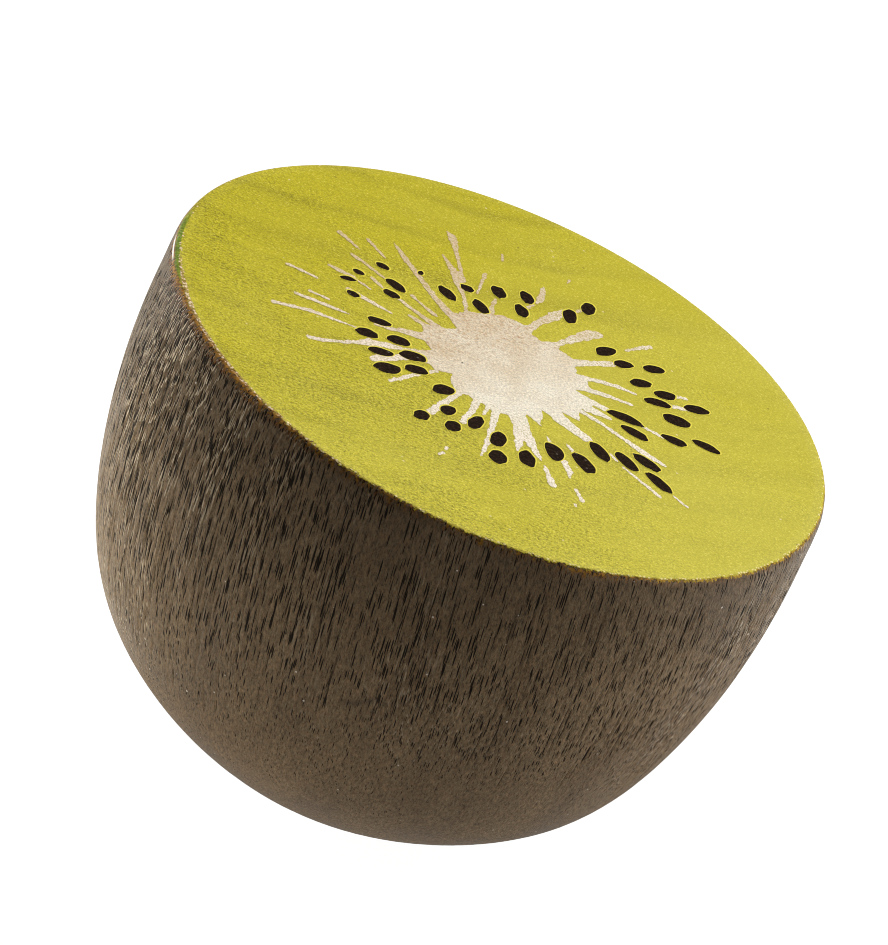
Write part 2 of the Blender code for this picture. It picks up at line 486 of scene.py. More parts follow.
# Rays: each a tapered stroke through (direction, radius, width).
RAYS = (
    ((74, 6.0, 0.6), (71, 8.0, 0.5), (67.5, 10.2, 0.9), (66.9, 11.5, 0.25)),
    ((63.6, 12.4, 0.16), (62.9, 13.2, 0.2)),
    ((54, 6.2, 0.8), (53.8, 7.0, 0.38), (53, 9.6, 0.85), (52.4, 11.0, 1.0), (51.6, 11.4, 0.8)),
    ((41.3, 12.2, 0.12), (41.6, 14.8, 0.42)),
    ((35.5, 6.4, 0.9), (34.8, 7.8, 0.55), (33.9, 9.8, 0.62)),
    ((19.5, 6.2, 0.5), (18, 8.0, 0.42), (16.4, 8.9, 0.46), (13.6, 10.0, 0.2)),
    ((17.5, 13.4, 0.35), (17.4, 14.2, 0.3)),
    ((5.8, 6.2, 0.6), (5, 8.2, 0.36), (4, 9.5, 0.2)),
    ((11.2, 12.6, 0.4), (11.5, 13.9, 0.36)),
    ((76.2, 10.6, 0.25), (75.6, 11.6, 0.55), (76.7, 13.3, 0.22)),
    ((78.4, 9.3, 0.2), (77.8, 10.1, 0.32)),
    ((117, 6.0, 0.25), (111.4, 8.2, 0.24), (109.8, 10.0, 0.72), (109.2, 11.3, 0.58), (110, 13.3, 0.18)),
    ((107, 10.2, 0.35), (105.3, 12.6, 0.22), (104.3, 14.4, 0.4), (103.8, 16.1, 0.72), (104.6, 16.6, 0.2)),
    ((102.6, 8.9, 0.18), (98.6, 10.6, 0.2), (96.4, 12.0, 0.26)),
    ((99, 6.2, 0.6), (96.4, 7.6, 0.3), (93.7, 8.8, 0.16)),
    ((133, 5.8, 0.8), (130.5, 8.1, 0.5), (128.2, 10.0, 0.48), (126.6, 12.0, 0.5), (125.1, 14.2, 0.16)),
    ((143.7, 8.4, 0.34), (144.6, 7.6, 0.2), (146.2, 6.2, 0.4)),
    ((159.5, 4.9, 0.7), (156.4, 6.7, 0.42), (153.4, 8.8, 0.3), (152.2, 10.2, 0.22), (150.7, 11.2, 0.3)),
    ((145.3, 10.6, 0.25), (145.1, 12.2, 0.3), (145, 13.7, 0.36)),
    ((134.4, 12.6, 0.14), (133.1, 14.8, 0.26)),
    ((140.2, 14.0, 0.14), (139.5, 16.0, 0.42)),
    ((158.8, 10.6, 0.14), (157.2, 12.2, 0.3), (157.8, 13.2, 0.48), (158.2, 13.9, 0.3)),
    ((168.4, 14.1, 0.26), (168.4, 16.2, 0.34)),
    ((169.4, 8.4, 0.14), (168, 9.9, 0.42), (167.2, 10.9, 0.5), (166.3, 11.8, 0.36)),
    ((166, 5.6, 0.6), (163.5, 7.2, 0.3)),
    ((177.6, 14.2, 0.28), (178.2, 12.9, 0.16)),
    ((181.4, 15.2, 0.3), (182.2, 13.4, 0.44), (183.3, 11.4, 0.12)),
    ((181.6, 5.8, 0.9), (182.4, 7.4, 0.6), (184.4, 8.4, 0.3), (185, 9.5, 0.2)),
    ((188.9, 17.0, 0.3), (188.3, 14.2, 0.42), (190, 12.2, 0.26), (191.3, 11.0, 0.12)),
    ((201.8, 6.0, 0.7), (201.2, 7.8, 0.4), (199.8, 9.4, 0.7), (199.6, 10.3, 0.86), (201.2, 11.6, 0.42), (202.2, 13.2, 0.24), (202.4, 14.4, 0.44), (201.8, 15.3, 0.4)),
    ((206.6, 6.6, 1.2), (207.7, 8.5, 0.6), (209.5, 10.3, 0.84), (210.4, 11.1, 0.5)),
    ((220.4, 6.5, 0.3), (221.4, 8.8, 0.34), (223, 11.3, 0.32)),
    ((240.2, 6.6, 0.6), (241.5, 8.6, 0.42), (241.5, 10.3, 0.6), (241.6, 11.4, 0.54)),
    ((252, 6.4, 0.5), (253, 8.4, 0.4), (252.4, 10.2, 0.5)),
    ((259.4, 6.7, 0.4), (258.5, 8.0, 0.1)),
    ((264.4, 6.7, 0.6), (264.1, 8.6, 0.4), (263.6, 10.9, 0.4), (262.8, 12.5, 0.25), (262.2, 13.6, 0.09)),
    ((253.2, 14.5, 0.26), (253.1, 14.8, 0.26)),
    ((253.2, 15.4, 0.24), (252.4, 15.8, 0.22)),
    ((275.8, 6.6, 0.9), (276.6, 8.0, 0.7), (275.6, 9.8, 0.6), (274.3, 11.0, 0.24)),
    ((280.6, 6.6, 0.8), (280, 7.8, 0.7), (280.6, 9.4, 0.85), (281.5, 10.4, 0.5), (282.7, 11.5, 0.18)),
    ((283.3, 12.2, 0.2), (283.3, 13.4, 0.45), (283.4, 14.3, 0.56)),
    ((310, 6.2, 1.3), (311.4, 7.2, 1.05), (314, 8.6, 0.8)),
    ((316.9, 10.5, 0.26), (316.5, 11.1, 0.26)),
    ((315.8, 11.9, 0.12), (316.3, 13.5, 0.22), (316.6, 15.3, 0.26)),
    ((321.3, 15.6, 0.12), (321, 16.9, 0.26)),
    ((334.4, 5.8, 0.5), (334.2, 7.9, 0.3), (332.8, 9.7, 0.42), (332.1, 11.8, 0.62), (332.4, 13.1, 0.32)),
    ((342, 6.4, 1.0), (343.4, 8.0, 0.42)),
    ((354, 5.2, 0.9), (351.4, 6.6, 0.62), (350.4, 8.0, 0.5)),
    ((349.8, 10.4, 0.3), (349, 11.9, 0.34)),
    ((291.1, 8.2, 0.1), (291.2, 9.0, 0.3)),
    ((292.1, 11.2, 0.56), (291.9, 12.3, 0.4), (290.6, 13.0, 0.1)),
    ((290.3, 14.4, 0.24), (290.3, 15.6, 0.36)),
    ((287.7, 16.2, 0.2), (287.6, 16.4, 0.2)),
    ((299.5, 9.0, 0.12), (299.8, 9.9, 0.4)),
    ((291, 6.2, 0.7), (291.2, 7.0, 0.12)),
    ((90, 14.7, 0.2), (90, 15.6, 0.16)),
    ((71.6, 15.7, 0.12), (71.7, 16.2, 0.12)),
)


RAY_SPREAD = 0.012  # how far the print has spread past each side of a ray


def polar(direction, radius):
    return radius * math.cos(math.radians(direction)), radius * math.sin(math.radians(direction))


def print_field(x, y):
    """Below zero inside the printed core and rays, in millimetres from their edge."""
    radius = np.hypot(x, y)
    direction = np.degrees(np.arctan2(y, x)) % 360
    table = np.array(CORE_EDGE + ((360, CORE_EDGE[0][1]),), float)
    field = (radius - np.interp(direction, table[:, 0], table[:, 1])) * 0.85
    for ray in RAYS:
        stroke = np.full_like(x, 1e3)
        for (d0, r0, w0), (d1, r1, w1) in zip(ray, ray[1:]):
            ax, ay = polar(d0, r0)
            bx, by = polar(d1, r1)
            dx, dy = bx - ax, by - ay
            share = np.clip(((x - ax) * dx + (y - ay) * dy) / (dx * dx + dy * dy), 0, 1)
            gap = np.hypot(x - ax - share * dx, y - ay - share * dy)
            stroke = np.minimum(stroke, gap - (w0 + (w1 - w0) * share) / 2 - RAY_SPREAD)
        blend = np.clip(0.5 + 0.5 * (stroke - field) / 0.16, 0, 1)
        field = stroke + (field - stroke) * blend - 0.16 * blend * (1 - blend)
    ragged = 0.065 * noise_a(x / 0.30, y / 0.30, 2.0) + 0.045 * noise_b(x / 0.14, y / 0.14, 9.0)
    return field + ragged


def contour(x, y, field):
    """Marching squares on a grid of values: (points, edges) of the line where it is zero."""
    inside = field < 0
    nx, ny = field.shape
    along = inside[:-1, :] != inside[1:, :]
    across = inside[:, :-1] != inside[:, 1:]
    along_id = np.full(along.shape, -1)
    across_id = np.full(across.shape, -1)
    along_id[along] = np.arange(along.sum())
    across_id[across] = along.sum() + np.arange(across.sum())
    i, j = np.nonzero(along)
    t = np.clip(field[i, j] / (field[i, j] - field[i + 1, j]), 0.12, 0.88)
    first = np.stack([x[i] + t * (x[i + 1] - x[i]), y[j]], -1)
    i, j = np.nonzero(across)
    t = np.clip(field[i, j] / (field[i, j] - field[i, j + 1]), 0.12, 0.88)
    second = np.stack([x[i], y[j] + t * (y[j + 1] - y[j])], -1)
    points = np.vstack([first, second])
    bottom, top = along_id[:, :-1], along_id[:, 1:]
    left, right = across_id[:-1, :], across_id[1:, :]
    case = (
        inside[:-1, :-1] * 1 + inside[1:, :-1] * 2 + inside[1:, 1:] * 4 + inside[:-1, 1:] * 8
    )
    pairs = {
        1: [(left, bottom)], 2: [(bottom, right)], 3: [(left, right)], 4: [(right, top)],
        5: [(left, bottom), (right, top)], 6: [(bottom, top)], 7: [(left, top)],
        8: [(top, left)], 9: [(top, bottom)], 10: [(bottom, right), (top, left)],
        11: [(top, right)], 12: [(right, left)], 13: [(right, bottom)], 14: [(bottom, left)],
    }
    edges = []
    for number, lines in pairs.items():
        where = case == number
        for a, b in lines:
            edges.append(np.stack([a[where], b[where]], -1))
    return points, np.concatenate(edges)


def film(name, flat, triangles, level, thickness, reach):
    """A closed film: its top at level, its walls down and its back."""
    n = len(flat)
    top = np.column_stack([flat, np.full(n, level)])
    back = np.column_stack([flat, np.full(n, level - thickness)])
    ends = np.concatenate([triangles[:, [0, 1]], triangles[:, [1, 2]], triangles[:, [2, 0]]])
    key = np.sort(ends, 1)
    _, index, count = np.unique(key, axis=0, return_index=True, return_counts=True)
    rim = ends[index[count == 1]]
    walls = np.concatenate(
        [
            np.stack([rim[:, 1], rim[:, 0], rim[:, 0] + n], -1),
            np.stack([rim[:, 1], rim[:, 0] + n, rim[:, 1] + n], -1),
        ]
    )
    faces = np.concatenate([triangles, triangles[:, ::-1] + n, walls])
    seen = 0.5 + 0.47 * flat / reach
    hidden = 0.985 + 0.010 * flat / reach
    uv_points = np.concatenate([seen, hidden])
    uv = uv_points[faces]
    wall_faces = np.zeros(len(faces), bool)
    wall_faces[2 * len(triangles) :] = True
    uv[wall_faces] = np.concatenate([hidden, hidden + 0.0003])[faces[wall_faces]]
    return mesh_object(
        name, np.vstack([top, back]), [tuple(f) for f in faces], uv.reshape(-1, 2), smooth=False
    )


def core_print():
    step = 0.06
    x = np.arange(-18.0, 18.0, step)
    y = np.arange(-18.0, 18.0, step)
    gx, gy = np.meshgrid(x, y, indexing="ij")
    field = print_field(gx, gy)
    points, edges = contour(x, y, field)
    verts, _, faces, *_ = delaunay_2d_cdt(
        [Vector(p) for p in points.tolist()], [tuple(e) for e in edges.tolist()], [], 0, 1e-7
    )
    flat = np.array([tuple(v) for v in verts])
    triangles = np.array([f for f in faces if len(f) == 3])
    middle = flat[triangles].mean(1)
    fx = (middle[:, 0] - x[0]) / step
    fy = (middle[:, 1] - y[0]) / step
    i, j = np.floor(fx).astype(int), np.floor(fy).astype(int)
    tx, ty = fx - i, fy - j
    value = (
        field[i, j] * (1 - tx) * (1 - ty)
        + field[i + 1, j] * tx * (1 - ty)
        + field[i, j + 1] * (1 - tx) * ty
        + field[i + 1, j + 1] * tx * ty
    )
    triangles = triangles[value < 0]
    a, b, c = (flat[triangles[:, i]] for i in range(3))
    area = (b[:, 0] - a[:, 0]) * (c[:, 1] - a[:, 1]) - (b[:, 1] - a[:, 1]) * (c[:, 0] - a[:, 0])
    triangles[area < 0] = triangles[area < 0][:, ::-1]
    used, back = np.unique(triangles, return_inverse=True)
    return film("kiwi_core_print", flat[used], back.reshape(-1, 3), CORE_LEVEL, 0.05, 18.0)


# ---------------------------------------------------------------- the printed seeds

# (direction in degrees, radius, length, width, turn from the ray in degrees)
SEEDS = (
    (3, 12.8, 2.05, 1.25, -2), (11, 11.6, 2.05, 0.90, 0), (12.5, 14.7, 1.95, 1.0, 7),
    (17, 12.55, 1.7, 1.0, 8), (22, 11.0, 1.85, 0.95, 8), (31, 13.15, 1.75, 0.9, -3),
    (33.5, 10.75, 1.6, 0.9, -2), (42, 10.3, 2.0, 0.95, 4), (62, 13.75, 1.75, 0.95, 13),
    (63.5, 11.3, 1.9, 1.0, 22), (80.5, 10.7, 1.6, 0.95, 16), (81, 8.5, 1.65, 0.95, 17),
    (92, 9.9, 1.55, 1.05, 5), (104, 7.15, 1.7, 1.0, 11), (107, 9.25, 0.95, 0.85, 79),
    (120.5, 8.3, 1.75, 1.0, 6), (125.5, 10.65, 0.6, 0.35, -57), (139.5, 11.85, 0.95, 0.7, 33),
    (145, 9.75, 1.65, 0.95, -5), (152.3, 12.15, 0.85, 0.6, 17), (153.2, 9.3, 1.2, 0.85, 14),
    (160, 12.25, 1.2, 0.55, 34), (168.3, 11.35, 0.9, 0.7, -6), (181.4, 9.15, 1.8, 0.8, 4),
    (193.5, 10.35, 1.65, 1.05, -1), (194, 8.0, 1.7, 1.1, 2), (205.4, 10.0, 1.85, 0.85, -12),
    (206.8, 7.55, 1.95, 1.1, -12), (215.8, 10.5, 2.15, 1.2, -9), (218, 8.2, 1.75, 1.0, -19),
    (235.2, 7.85, 1.85, 1.1, -19), (240.8, 12.4, 1.35, 0.95, 1), (245.3, 9.85, 1.45, 0.9, -8),
    (250.7, 11.5, 1.5, 1.0, -7), (257, 9.55, 2.0, 0.9, -9), (267, 10.45, 2.05, 1.0, -12),
    (267.4, 12.85, 1.7, 1.2, -10), (277.5, 11.75, 1.95, 1.15, -7), (290, 10.15, 2.1, 1.25, -6),
    (300.2, 11.15, 2.4, 1.2, 4), (313, 10.05, 2.2, 1.15, -14), (320, 11.5, 2.15, 1.05, -11),
    (322, 14.1, 2.35, 1.05, -7), (327.4, 12.2, 2.25, 1.05, 1), (342, 10.0, 2.1, 1.0, -3),
    (350, 12.65, 1.85, 0.95, 6), (350.3, 9.05, 2.7, 1.0, 2), (354.3, 14.95, 2.1, 0.9, -7),
)
SEED_POINTS = 36


def seed_outlines(grow, shift=(0.0, 0.0)):
    """Each seed's edge: a blunt oval, a little uneven, wider towards one end."""
    rng = np.random.RandomState(41)
    turn = 2 * math.pi * np.arange(SEED_POINTS) / SEED_POINTS
    shapes = []
    for direction, radius, length, width, twist in SEEDS:
        # Each end is its own shape, from blunt (below 0) to drawn to a point (above 0).
        outer, inner = rng.uniform(-0.25, 0.55, 2)
        bend = rng.uniform(-0.10, 0.10)
        waves = sum(
            rng.uniform(-0.035, 0.035) * np.cos(k * turn + rng.uniform(0, 6.28)) for k in (2, 3, 4, 5, 7)
        )
        cos, sin = np.cos(turn), np.sin(turn)
        taper = np.where(cos > 0, outer, inner)
        u = np.sign(cos) * np.abs(cos) ** 0.92 * (length / 2)
        v = np.sign(sin) * np.abs(sin) ** (0.95 + taper) * (width / 2) * 1.04
        v = v + bend * (cos * cos - 0.5) * width
        u, v = u * (1 + waves), v * (1 + waves)
        away = np.hypot(u, v)
        u, v = u * (1 + grow / away), v * (1 + grow / away)
        heading = math.radians(direction + twist)
        cx, cy = polar(direction, radius)
        cx, cy = cx + shift[0], cy + shift[1]
        x = cx + u * math.cos(heading) - v * math.sin(heading)
        y = cy + u * math.sin(heading) + v * math.cos(heading)
        shapes.append((np.array([cx, cy]), np.stack([x, y], -1)))
    return shapes


def ovals(name, grow, rings, thickness, shift=(0.0, 0.0)):
    """Films in the seeds' shapes. rings lists (share of the outline, level) from the edge in."""
    points, faces, uv = [], [], []
    m = SEED_POINTS
    for centre, edge in seed_outlines(grow, shift):
        base = len(points)
        flat = []
        for share, level in rings:
            ring = centre + (edge - centre) * share
            points += [(px, py, level) for px, py in ring]
            flat += list(ring)
        points.append((*centre, rings[-1][1]))
        flat.append(centre)
        back = [(px, py, rings[0][1] - thickness) for px, py in edge]
        points += back + [(*centre, rings[0][1] - thickness)]
        seen = 0.5 + 0.47 * np.array(flat) / 18.0
        hidden = 0.985 + 0.010 * np.array(list(edge) + [centre]) / 18.0
        top = len(rings) * m
        for j in range(m):
            k = (j + 1) % m
            for r in range(len(rings) - 1):
                quad = (r * m + j, r * m + k, (r + 1) * m + k, (r + 1) * m + j)
                faces.append(tuple(base + q for q in quad))
                uv += [seen[q] for q in quad]
            last = (len(rings) - 1) * m
            faces.append((base + last + j, base + last + k, base + top))
            uv += [seen[last + j], seen[last + k], seen[top]]
            low0 = top + 1
            faces.append((base + low0 + j, base + low0 + m, base + low0 + k))
            uv += [hidden[j], hidden[m], hidden[k]]
            faces.append((base + k, base + j, base + low0 + j, base + low0 + k))
            uv += [hidden[k], hidden[j], hidden[j] + 0.0003, hidden[k] + 0.0003]
    return mesh_object(name, points, faces, np.array(uv), smooth=False)


# ---------------------------------------------------------------- materials


class Nodes:
    """Adds nodes to a material and wires them."""

    def __init__(self, name):
        self.material = bpy.data.materials.new(name)
        self.material.use_nodes = True
        self.tree = self.material.node_tree
        self.shader = self.tree.nodes["Principled BSDF"]

    def put(self, socket, value):
        if isinstance(value, bpy.types.NodeSocket):
            self.tree.links.new(value, socket)
        elif value is not None:
            if socket.type == "RGBA" and len(value) == 3:
                value = (*value, 1.0)
            socket.default_value = value

    def add(self, kind, settings=None, **inputs):
        node = self.tree.nodes.new(kind)
        for key, value in (settings or {}).items():
            setattr(node, key, value)
        for key, value in inputs.items():
            self.put(node.inputs[key.replace("_", " ")], value)
        return node

    def math(self, operation, a, b=None, c=None, clamp=False):
        node = self.tree.nodes.new("ShaderNodeMath")
        node.operation = operation
        node.use_clamp = clamp
        for socket, value in zip(node.inputs, (a, b, c)):
            self.put(socket, value)
        return node.outputs[0]

    def brighten(self, colour, amount):
        node = self.tree.nodes.new("ShaderNodeVectorMath")
        node.operation = "SCALE"
        self.put(node.inputs[0], colour)
        self.put(node.inputs["Scale"], amount)
        return node.outputs[0]

    def vector(self, operation, a, b=None):
        node = self.tree.nodes.new("ShaderNodeVectorMath")
        node.operation = operation
        self.put(node.inputs[0], a)
        self.put(node.inputs[1], b)
        return node.outputs["Value" if operation in ("LENGTH", "DISTANCE", "DOT_PRODUCT") else "Vector"]

    def remap(self, value, a, b, low=0.0, high=1.0, smooth=True):
        node = self.tree.nodes.new("ShaderNodeMapRange")
        node.interpolation_type = "SMOOTHSTEP" if smooth else "LINEAR"
        for socket, item in zip(node.inputs, (value, a, b, low, high)):
            self.put(socket, item)
        return node.outputs[0]

    def mix(self, share, a, b, blend="MIX"):
        node = self.tree.nodes.new("ShaderNodeMix")
        node.data_type = "RGBA"
        node.blend_type = blend
        self.put(node.inputs[0], share)
        self.put(node.inputs[6], a)
        self.put(node.inputs[7], b)
        return node.outputs[2]

    def noise(self, where, scale, detail=2.0, rough=0.5, output="Fac"):
        node = self.add("ShaderNodeTexNoise", None, Vector=where, Scale=scale, Detail=detail, Roughness=rough)
        return node.outputs[output]

    def cells(self, where, scale=1.0, randomness=1.0):
        node = self.add(
            "ShaderNodeTexVoronoi", {"feature": "F1"}, Vector=where, Scale=scale, Randomness=randomness
        )
        return node.outputs["Distance"], node.outputs["Color"]

    def stops(self, value, points):
        """A value that runs through (place, value) points, with places from 0 to 1."""
        node = self.tree.nodes.new("ShaderNodeValToRGB")
        ramp = node.color_ramp
        ramp.interpolation = "LINEAR"
        while len(ramp.elements) > 1:
            ramp.elements.remove(ramp.elements[-1])
        for n, (place, amount) in enumerate(points):
            element = ramp.elements[0] if n == 0 else ramp.elements.new(place)
            element.position = place
            element.color = (amount, amount, amount, 1.0)
        self.put(node.inputs[0], value)
        return node.outputs[0]

    def scaled(self, where, x, y, z, shift=(0.0, 0.0, 0.0)):
        node = self.tree.nodes.new("ShaderNodeVectorMath")
        node.operation = "MULTIPLY_ADD"
        self.put(node.inputs[0], where)
        self.put(node.inputs[1], (x, y, z))
        self.put(node.inputs[2], shift)
        return node.outputs[0]

    def split(self, where):
        node = self.add("ShaderNodeSeparateXYZ", None, Vector=where)
        return node.outputs[0], node.outputs[1], node.outputs[2]

    def bump(self, height, distance, strength=1.0, normal=None):
        node = self.add("ShaderNodeBump", None, Height=height, Distance=distance, Strength=strength)
        if normal is not None:
            self.put(node.inputs["Normal"], normal)
        return node.outputs[0]


def srgb(r, g, b):
    def one(v):
        v /= 255
        return v / 12.92 if v <= 0.04045 else ((v + 0.055) / 1.055) ** 2.4

    return one(r), one(g), one(b)


def millimetres(n):
    """Object coordinates brought to the face frame, in millimetres."""
    where = n.add("ShaderNodeTexCoord").outputs["Object"]
    node = n.add("ShaderNodeMapping", {"vector_type": "TEXTURE"}, Vector=where)
    node.inputs["Location"].default_value = FACE_CENTRE
    node.inputs["Rotation"].default_value = (0, math.radians(LEAN), 0)
    node.inputs["Scale"].default_value = (0.001, 0.001, 0.001)
    return node.outputs[0]


def pore_set(n, where, wide, long, half, present, slim, seed):
    """Pores of the wood: slim flattened rods along the grain, one to a cell that has one.

    Gives how much of a pore a place is, and how much of the painted highlight on the lit side beside one.
    slim is the share of its full thickness that a pore has at a place.
    """
    spot = n.scaled(where, 1 / wide, 0.58 / wide, 1 / long, (seed, seed * 1.7, seed * 0.6))
    node = n.add("ShaderNodeTexVoronoi", {"feature": "F1"}, Vector=spot, Scale=1.0, Randomness=1.0)
    red, green, _ = n.split(node.outputs["Color"])
    limit = n.math("MULTIPLY_ADD", green, 0.6 * half / wide, 0.6 * half / wide)
    limit = n.math("MULTIPLY", limit, slim)
    gap = n.math("DIVIDE", node.outputs["Distance"], limit)
    there = n.remap(n.math("SUBTRACT", present, red), -0.02, 0.02)
    pore = n.math("MULTIPLY", n.remap(gap, 1.20, 0.78), there)
    # The painted highlight lies on one side of each pore, the side a light would catch.
    beside = n.vector("DOT_PRODUCT", n.vector("SUBTRACT", spot, node.outputs["Position"]), (0.0, -1.0, 0.0))
    lip_highlight = n.math("MULTIPLY", n.remap(gap, 1.95, 1.50), n.remap(n.math("DIVIDE", beside, limit), 0.6, 1.1))
    return pore, n.math("MULTIPLY", lip_highlight, there)


WOOD = srgb(114, 95, 71)
WOOD_DARK = srgb(97, 79, 57)
WOOD_RED = srgb(122, 93, 66)
WOOD_GREY = srgb(104, 94, 73)
PORE = srgb(9, 4, 1)
# Colour of the painted highlight beside each pore.
LIP_HIGHLIGHT = srgb(216, 200, 174)
RUB_MARK = (-4.3, -23.0, -15.3)  # middle of the rub mark
RUB_RUN = (0.754, -0.301, 0.584)  # and the way that it runs


def field(n, name):
    return n.add("ShaderNodeAttribute", {"attribute_name": name}).outputs["Fac"]


def along_wall(n, where):
    """Place in the wood, drawn in towards the wall so that the grain follows the turned side."""
    depths = np.linspace(0.0, 36.0, 13)
    radii = np.interp(depths, OUTLINE[:, 2], OUTLINE[:, 1])
    spread = np.minimum((FACE_RADIUS / np.maximum(radii, 1.0)) ** 0.30, 3.0)
    x, y, z = n.split(where)
    share = n.stops(n.math("DIVIDE", z, -36.0), [(d / 36.0, k / 4) for d, k in zip(depths, spread)])
    spread = n.math("MULTIPLY", share, 4.0)
    lean = n.math("MULTIPLY", z, math.tan(math.radians(GRAIN_LEAN)))
    x = n.math("MULTIPLY_ADD", x, spread, lean)
    return n.add("ShaderNodeCombineXYZ", None, X=x, Y=n.math("MULTIPLY", y, spread), Z=z).outputs[0]


def wood_look(n, where, groove):
    """(colour, roughness, height) of the stained, open-pored side."""
    open_pored, patch = field(n, "open"), field(n, "patch")
    base = n.mix(n.remap(patch, 0.2, 0.8, 0.0, 1.0, False), WOOD_DARK, WOOD)
    tint = n.noise(n.scaled(where, 4.6, 4.6, 2.6, (7, 1, 3)), 1.0, 1.0, 0.7)
    base = n.mix(n.remap(tint, 0.53, 0.68, 0.0, 0.35), base, WOOD_RED)
    base = n.mix(n.remap(tint, 0.47, 0.32, 0.0, 0.40), base, WOOD_GREY)
    x, _, z = n.split(where)
    # Darker near the face and a little lighter lower down: painted shade under the edge of the face.
    base = n.brighten(base, n.remap(z, -0.5, -11.0, 0.74, 1.06))
    grain = along_wall(n, where)
    fibre = n.noise(n.scaled(grain, 6.5, 3.9, 2.4, (2, 5, 8)), 1.0, 2.0, 0.9)
    base = n.brighten(base, n.remap(fibre, 0.30, 0.70, 0.46, 1.60, False))

    slim = n.math("MULTIPLY", n.remap(z, -9.0, -25.0, 1.0, 0.56), n.remap(x, -4.0, -16.0, 1.0, 1.18))
    fine, fine_highlight = pore_set(n, grain, 0.135, 1.8, 0.047, n.math("MULTIPLY_ADD", open_pored, 2.4, -0.34), slim, 3.0)
    some, some_highlight = pore_set(n, grain, 0.19, 4.8, 0.046, n.math("MULTIPLY_ADD", open_pored, 2.0, -0.12), slim, 11.0)
    pores = n.math("MAXIMUM", fine, some)
    if groove:
        pores = n.math("MAXIMUM", pores, n.remap(field(n, "groove"), 0.60, 1.0))
    # Painted highlights on the lit edge of each pore, strongest towards the left and right sides where the light
    # grazes.
    lip_highlight = n.math("MULTIPLY", n.math("MAXIMUM", fine_highlight, some_highlight), n.math("SUBTRACT", 1.0, pores), None, True)
    lip_highlight = n.math("MULTIPLY", lip_highlight, n.math("MULTIPLY_ADD", open_pored, 2.3, -0.90, True), None, True)
    lip_highlight = n.math("MULTIPLY", lip_highlight, n.math("MAXIMUM", n.remap(x, -13.0, -20.5, 0.28, 1.0), n.remap(x, 10.0, 19.0, 0.0, 0.8)))
    colour = n.mix(lip_highlight, base, LIP_HIGHLIGHT)
    colour = n.mix(n.math("MULTIPLY", pores, 0.95), colour, PORE)

    gap, dice = n.cells(n.scaled(where, 0.8, 0.8, 0.8, (1, 2, 3)))
    red, _, _ = n.split(dice)
    speck = n.math("MULTIPLY", n.remap(gap, 0.072, 0.045), n.math("LESS_THAN", red, 0.34))
    colour = n.mix(n.math("MULTIPLY", speck, 0.85), colour, srgb(205, 195, 180))
    # A faint dark rub mark on the front of the side.
    away = n.vector("SUBTRACT", where, RUB_MARK)
    run = n.vector("DOT_PRODUCT", away, RUB_RUN)
    off = n.vector("LENGTH", n.vector("SUBTRACT", away, n.brighten(RUB_RUN, run)))
    rub = n.math("MULTIPLY", n.remap(n.math("ABSOLUTE", run), 2.0, 0.5), n.remap(off, 0.42, 0.10), None, True)
    colour = n.mix(n.math("MULTIPLY", rub, 0.42), colour, srgb(52, 44, 36))
    height = fibre
    rough = n.math("MULTIPLY_ADD", pores, 0.25, n.remap(patch, 0.2, 0.8, 0.50, 0.60))
    return colour, rough, height


# The deeper lime, and a paler lime that carries a painted sheen.
LIME_DEEP = srgb(188, 175, 18)
LIME_WITH_SHEEN = srgb(200, 189, 63)


def lime_look(n, where):
    """(colour, height, grain) of the thin lime paint over end grain."""
    # Paler towards the lower right: painted sheen across the face.
    base = n.mix(field(n, "cloud"), LIME_DEEP, LIME_WITH_SHEEN)
    grain = n.noise(n.scaled(where, 6.8, 6.8, 6.8, (5, 5, 5)), 1.0, 1.0, 0.8)
    wrinkle = n.noise(n.scaled(where, 3.3, 4.6, 3.9, (8, 2, 4)), 1.0, 2.0, 0.75)
    coarse = field(n, "coarse")
    shade = n.math("SUBTRACT", 1.0, n.math("MULTIPLY", field(n, "line"), 0.18))
    shade = n.math("MULTIPLY_ADD", n.remap(grain, 0.25, 0.75, -0.30, 0.30, False), n.math("MULTIPLY_ADD", coarse, 0.45, 0.55), shade)
    # Painted light and shade of the paint's wrinkles, strongest where the paint is coarse.
    wrinkle_light_and_shade = n.math("MULTIPLY", n.remap(wrinkle, 0.60, 0.26, 0.22, -0.26), n.math("MULTIPLY", coarse, coarse))
    base = n.brighten(base, n.math("ADD", shade, wrinkle_light_and_shade))
    base = n.mix(n.remap(grain, 0.58, 0.80, 0.0, 0.40), base, srgb(236, 226, 136))
    gap, dice = n.cells(n.scaled(where, 0.8, 0.8, 0.8, (6, 2, 1)))
    red, _, _ = n.split(dice)
    speck = n.math("MULTIPLY", n.remap(gap, 0.09, 0.05), n.math("LESS_THAN", red, 0.20))
    base = n.mix(n.math("MULTIPLY", speck, 0.7), base, srgb(232, 222, 170))
    dark = n.math("MULTIPLY", n.remap(gap, 0.11, 0.06), n.math("GREATER_THAN", red, 0.86))
    base = n.mix(n.math("MULTIPLY", dark, 0.5), base, srgb(110, 94, 30))
    return base, n.math("MULTIPLY_ADD", grain, 0.35, wrinkle), coarse


